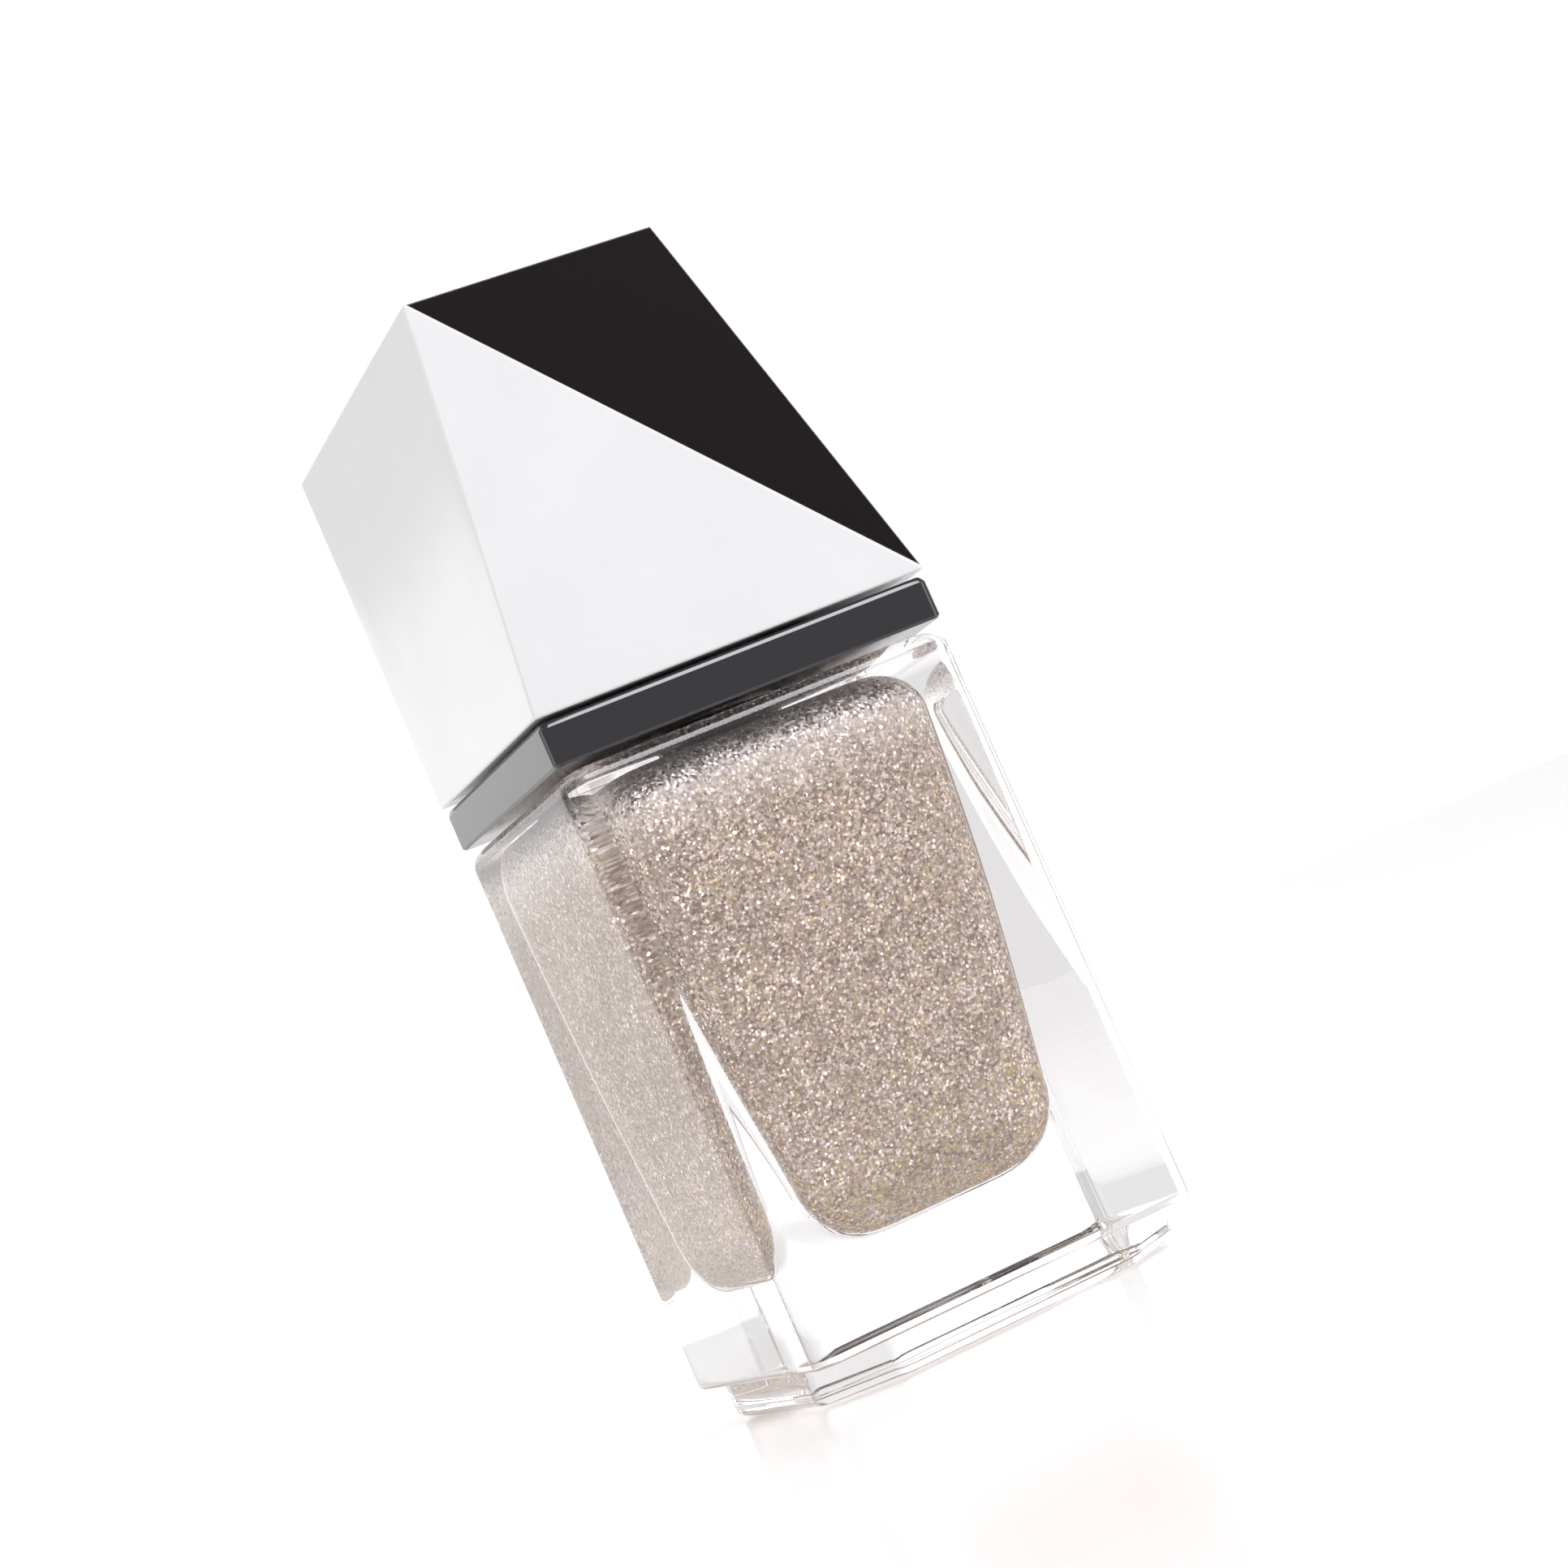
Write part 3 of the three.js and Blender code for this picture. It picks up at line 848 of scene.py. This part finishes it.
def turned_object(name, profile, segments=64):
    """A turned solid from (radius, height) points that start and end on the axis."""
    inner = profile[1:-1]
    vertices = [Vector((0, 0, profile[0][1])), Vector((0, 0, profile[-1][1]))]
    for radius, z in inner:
        for i in range(segments):
            angle = 2 * math.pi * i / segments
            vertices.append(Vector((radius * math.cos(angle), radius * math.sin(angle), z)))
    faces = []
    last = 2 + (len(inner) - 1) * segments
    for i in range(segments):
        j = (i + 1) % segments
        faces.append((0, 2 + j, 2 + i))
        faces.append((1, last + i, last + j))
        for level in range(len(inner) - 1):
            low = 2 + level * segments
            high = low + segments
            faces.append((low + i, low + j, high + j, high + i))
    return new_object(name, vertices, faces)


def brush_stem():
    """The plastic rod with its head, a rolled lower end and the socket that holds the tuft."""
    bottom, top = stem_low.z, stem_high.z
    head = top - 1.2 * MM
    head_radius = stem_high.x
    socket, socket_top = 1.25 * MM, bottom + 3.4 * MM
    profile = [(0, socket_top), (socket, socket_top), (socket, bottom + 0.1 * MM)]
    profile += arc(STEM_RADIUS - 0.17 * MM, bottom + 0.17 * MM, 0.17 * MM, -90, 0, 4)
    profile += [(STEM_RADIUS, head - 0.2 * MM), (STEM_RADIUS + 0.1 * MM, head)]
    profile += [(head_radius - 0.1 * MM, head), (head_radius, head + 0.1 * MM)]
    profile += [(head_radius, top - 0.2 * MM), (head_radius - 0.2 * MM, top), (0, top)]
    stem = turned_object("brush_rod", profile)
    keep_flats(stem, 30)
    return stem


def bristle_tuft():
    """Fine filaments that leave the stem's socket together, swell a little and close in a rounded tip."""
    rng = np.random.default_rng(SEED)
    sides, steps = 5, 12
    root_z = tuft_high.z
    vertices, faces = [], []
    golden_angle = math.pi * (3 - math.sqrt(5))
    for index in range(FILAMENTS):
        share = math.sqrt((index + 0.5) / FILAMENTS)
        angle = index * golden_angle
        root_reach = share * 0.86 * MM
        tip_z = tuft_low.z + 2.6 * MM * share**2.4 + rng.uniform(0, 0.35) * MM
        sway = rng.uniform(-0.12, 0.12, 2) * MM * (1 - share)
        base = len(vertices)
        for step in range(steps + 1):
            t = step / steps
            z = root_z + (tip_z - root_z) * t
            swell = math.sin(min(1.0, t * 1.25) * math.pi * 0.5)
            spread = (TUFT_RADIUS - 1.02 * MM) * swell
            closing = 0.35 * MM * max(0, t - 0.75) * 4
            reach = root_reach + share * (spread - closing)
            centre = Vector((reach * math.cos(angle), reach * math.sin(angle), z))
            centre += Vector((sway[0], sway[1], 0)) * t * t
            thick = 0.045 * MM * (1 - 0.55 * t)
            for side in range(sides):
                turn = 2 * math.pi * side / sides
                vertices.append(centre + Vector((thick * math.cos(turn), thick * math.sin(turn), 0)))
        for step in range(steps):
            low, high = base + step * sides, base + (step + 1) * sides
            for side in range(sides):
                nxt = (side + 1) % sides
                faces.append((low + side, high + side, high + nxt, low + nxt))
        faces.append([base + side for side in range(sides)])
        faces.append([base + steps * sides + side for side in reversed(range(sides))])
    return new_object("bristle_filaments", vertices, faces)


# ---------------------------------------------------------------- stage, light and camera


def make_floor():
    """A wide, faintly uneven disc under the foot."""
    steps, spokes = 24, 96
    vertices, faces = [Vector((0, 0, 0))], []
    for ring in range(1, steps + 1):
        radius = 2.5 * (ring / steps) ** 2
        for spoke in range(spokes):
            angle = 2 * math.pi * spoke / spokes
            vertices.append(Vector((radius * math.cos(angle), radius * math.sin(angle), 0)))
    for spoke in range(spokes):
        nxt = (spoke + 1) % spokes
        faces.append((0, 1 + spoke, 1 + nxt))
        for ring in range(steps - 1):
            low, high = 1 + ring * spokes, 1 + (ring + 1) * spokes
            faces.append((low + spoke, high + spoke, high + nxt, low + nxt))
    floor = new_object("floor", vertices, faces)
    floor.location.z = glass_low.z - 0.05 * MM
    paint(floor, floor_material())


def soft_light(name, place, size, power, color=(1, 1, 1)):
    """A softbox that faces the bottle's middle."""
    data = bpy.data.lights.new(name, "AREA")
    data.shape = "RECTANGLE"
    data.size, data.size_y = size
    data.energy = power
    data.color = color
    lamp = bpy.data.objects.new(name, data)
    lamp.location = place
    lamp.rotation_euler = (LIGHT_AIM - Vector(place)).to_track_quat("-Z", "Y").to_euler()
    bpy.context.scene.collection.objects.link(lamp)


def towards(t, direction, aim, start, end, low, high):
    """low away from the aim and high near it, with start and end as cosines of the angle between."""
    cosine = t.vector_maths("DOT_PRODUCT", direction, Vector(aim).normalized())
    return t.remap(cosine, start, end, low, high, "SMOOTHSTEP")


def sweep_white(t, direction):
    """The bright sweep behind the bottle, capped close to the horizon."""
    across = t.remap(t.parts(direction)["X"], -1.0, 1.0, 0.0, 1.0)
    halves = [((x + 1) / 2, (white / 2, white / 2, white / 2)) for x, white in BEHIND]
    behind = t.product(t.ramp(across, halves), 2.0)
    rise = towards(t, direction, (0, 0, 1), 0.0, 0.14, 0.0, 1.0)
    return t.mix_value(rise, t.maths("MINIMUM", behind, HORIZON_WHITE), behind)


def make_light():
    """A white studio: a bright sweep behind, an even front, a small dark flag and four lamps."""
    world = bpy.data.worlds.new("studio")
    bpy.context.scene.world = world
    world.use_nodes = True
    t = Tree(world.node_tree)
    direction = t.add("ShaderNodeTexCoord").outputs["Generated"]
    back = towards(t, direction, (0, 1, 0), 0.0, 0.5, 0.0, 1.0)
    room = t.mix_value(back, FRONT_WHITE, sweep_white(t, direction))
    flag = towards(t, direction, FLAG_AIM, 0.965, 0.985, 1.0, FLAG_SHARE)
    lit = t.product(room, flag)
    seen = t.mix_value(t.add("ShaderNodeLightPath").outputs["Is Camera Ray"], lit, SEEN_WHITE)
    background = world.node_tree.nodes["Background"]
    background.inputs["Color"].default_value = (1.0, 0.99, 0.992, 1)
    t.link(seen, background.inputs["Strength"])
    soft_light("key", (-0.30, -0.45, 0.42), (0.22, 0.22), KEY_POWER)
    soft_light("overhead", (0.17, -0.26, 0.44), (0.22, 0.22), OVERHEAD_POWER, (0.95, 0.94, 1.0))
    soft_light("left", (-0.5, 0.08, 0.15), (0.25, 0.35), LEFT_POWER)
    soft_light("fill", (0.5, -0.42, 0.15), (0.25, 0.35), FILL_POWER)


def make_camera():
    data = bpy.data.cameras.new("camera")
    data.lens = LENS
    data.sensor_width = SENSOR
    data.clip_start = 0.005
    camera = bpy.data.objects.new("camera", data)
    azimuth = math.radians(CAMERA_AZIMUTH)
    place = Vector((math.sin(azimuth), -math.cos(azimuth), 0)) * CAMERA_RADIUS
    place.z = CAMERA_HEIGHT
    turn = (
        Matrix.Rotation(-math.radians(CAMERA_YAW), 4, "Z")
        @ Matrix.Rotation(math.radians(90 + CAMERA_PITCH), 4, "X")
        @ Matrix.Rotation(-math.radians(CAMERA_ROLL), 4, "Z")
    )
    camera.matrix_world = Matrix.Translation(place) @ turn
    bpy.context.scene.collection.objects.link(camera)
    bpy.context.scene.camera = camera


# ---------------------------------------------------------------- the bottle


def allow_deep_glass():
    """Thick glass needs more bounces than usual before its corners clear."""
    cycles = bpy.context.scene.cycles
    cycles.max_bounces = 28
    cycles.glossy_bounces = 20
    cycles.transmission_bounces = 24


allow_deep_glass()
make_camera()
make_floor()
make_light()
bpy.context.scene.view_settings.view_transform = "Standard"

white_gloss = gloss_material("white_gloss", (0.74, 0.737, 0.74), (0.7, 0.69, 0.69), 0.06)
black_gloss = gloss_material("black_gloss", (0.008, 0.005, 0.006), (0.1, 0.1, 0.1), 0.05)
collar_gloss = gloss_material("black_collar", (0.009, 0.007, 0.011), (0.1, 0.1, 0.1), 0.07, ior=1.65)
satin_black = moulded_material("inner_cap_plastic", (0.02, 0.019, 0.021), 0.42)
rod_plastic = moulded_material("stem_plastic", (0.018, 0.017, 0.018), 0.32, grain=2600)
foam = moulded_material("liner_foam", (0.8, 0.78, 0.73), 0.8, grain=1200)
steel = steel_material()
wet_bristles = glitter_material("wet_bristles", wet=0.3, behind_glass=False)

piece(glass_bottle(), glass_material(), "bottle", "clear_glass", "glass_bottle")
piece(nail_polish(), glitter_material("glitter_polish"), "bottle", "glitter_polish", "nail_polish")
piece(cap_shell(), white_gloss, "cap", "white_gloss", "cap_shell")
piece(facet_panel(), black_gloss, "cap", "black_gloss", "facet_panel")
piece(collar_ring(), collar_gloss, "cap", "black_collar", "collar")
piece(brush_stem(), rod_plastic, "brush", "stem_plastic", "brush_stem")
piece(bristle_tuft(), wet_bristles, "brush", "nylon", "brush_bristles")

paint(nodes["inner_cap"], satin_black)
paint(nodes["sealing_liner"], foam)
for name in ("mixing_ball_1", "mixing_ball_2", "bristle_anchor"):
    paint(nodes[name], steel)
